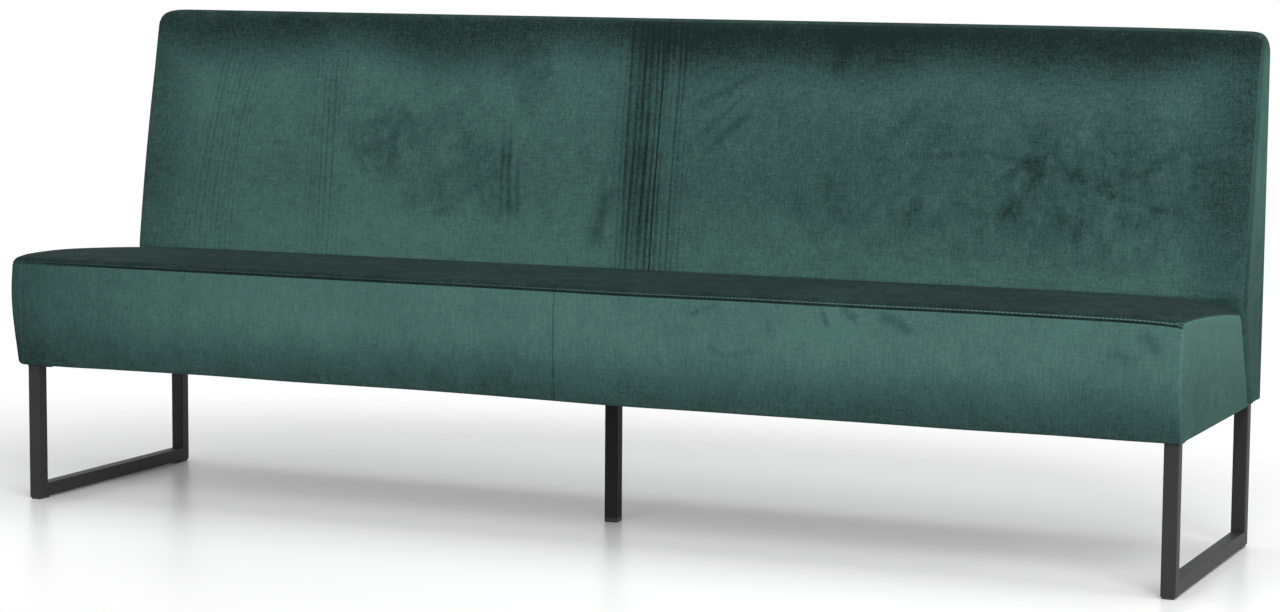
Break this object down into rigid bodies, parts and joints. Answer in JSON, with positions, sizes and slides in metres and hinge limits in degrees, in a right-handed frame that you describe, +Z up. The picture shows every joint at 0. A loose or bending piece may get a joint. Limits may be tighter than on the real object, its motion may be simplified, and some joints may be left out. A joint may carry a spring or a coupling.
{
  "type": "dining bench",
  "caption": "Long upholstered dining bench with a padded seat and backrest in velvet, on square-tube U-shaped steel end legs and a middle support post.",
  "frame": {"origin": "on the floor, under the centre of the bench's bounding box", "axes": "+X along the bench to the sitter's left, which is the right side of the picture; +Y from the front to the backrest; +Z up"},
  "size_m": [2.2, 0.5702, 0.904],
  "materials": {
    "green_velvet": "short pile velvet in bottle green with brushed pile marks",
    "black_steel": "matt black powder coat with a fine grain",
    "black_plastic": "moulded black plastic",
    "black_cloth": "thin black non-woven lining",
    "foam": "cut upholstery foam, hidden",
    "webbing": "woven elastic webbing, hidden",
    "beech": "planed solid wood, hidden",
    "fibreboard": "thin pressed fibreboard, hidden",
    "zinc_steel": "zinc plated fasteners"
  },
  "bodies": {
    "root": {"back_bolts": "zinc_steel", "back_bottom_rails": "beech", "back_dust_cloth": "black_cloth", "back_foam": "foam", "back_front_board": "fibreboard", "back_front_cover_left": "green_velvet", "back_front_cover_right": "green_velvet", "back_left_end_upright": "beech", "back_left_inner_upright": "beech", "back_left_outer_upright": "beech", "back_middle_rails": "beech", "back_rear_board": "fibreboard", "back_rear_cover_left": "green_velvet", "back_rear_cover_right": "green_velvet", "back_right_end_upright": "beech", "back_right_inner_upright": "beech", "back_right_outer_upright": "beech", "back_side_cover_left": "green_velvet", "back_side_cover_right": "green_velvet", "back_top_cover_left": "green_velvet", "back_top_cover_right": "green_velvet", "back_top_rails": "beech", "left_bottom_rail": "black_steel", "left_front_glide": "black_plastic", "left_front_post": "black_steel", "left_mounting_plate": "black_steel", "left_rear_glide": "black_plastic", "left_rear_post": "black_steel", "leg_bolts": "zinc_steel", "middle_foot": "black_plastic", "middle_leg_screws": "zinc_steel", "middle_plate": "black_steel", "middle_post": "black_steel", "right_bottom_rail": "black_steel", "right_front_glide": "black_plastic", "right_front_post": "black_steel", "right_mounting_plate": "black_steel", "right_rear_glide": "black_plastic", "right_rear_post": "black_steel", "seat_cross_rails": "beech", "seat_dust_cloth": "black_cloth", "seat_foam": "foam", "seat_front_cover_left": "green_velvet", "seat_front_cover_right": "green_velvet", "seat_front_rail": "beech", "seat_left_end_rail": "beech", "seat_middle_rail": "beech", "seat_rear_cloth": "black_cloth", "seat_rear_rail": "beech", "seat_right_end_rail": "beech", "seat_side_cover_left": "green_velvet", "seat_side_cover_right": "green_velvet", "seat_top_cover_left": "green_velvet", "seat_top_cover_right": "green_velvet", "seat_wadding": "foam", "seat_webbing": "webbing"}
  },
  "joints": []
}
